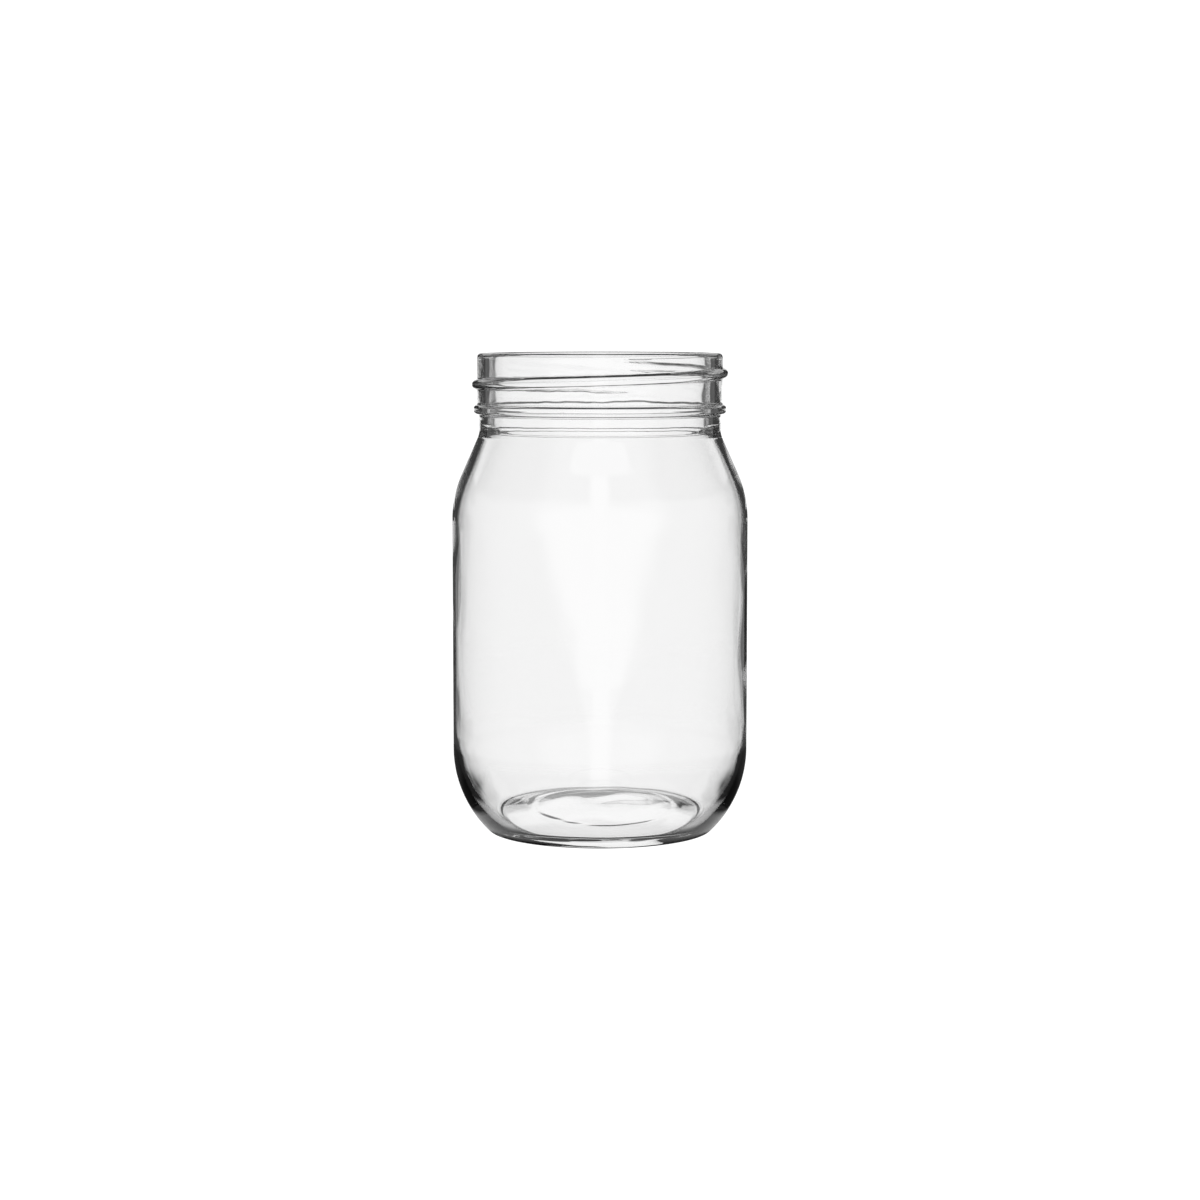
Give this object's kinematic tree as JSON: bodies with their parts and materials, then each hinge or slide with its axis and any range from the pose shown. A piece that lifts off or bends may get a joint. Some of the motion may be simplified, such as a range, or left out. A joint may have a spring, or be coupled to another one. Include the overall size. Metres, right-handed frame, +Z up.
{
  "type": "mason jar",
  "caption": "Clear glass jar with rounded shoulders and heel, a right-handed screw thread and a bead on the neck, open at the top, for canning and dry storage.",
  "frame": {"origin": "centre of the ring that the jar rests on", "axes": "+Z up along the jar's axis, -Y towards the viewer, +X to the viewer's right; the thread's lower end is at the back"},
  "size_m": [0.081, 0.081, 0.1315],
  "materials": {
    "glass": "clear and glossy, with a slightly wavy inner wall"
  },
  "bodies": {
    "root": {"jar": "glass"}
  },
  "joints": []
}
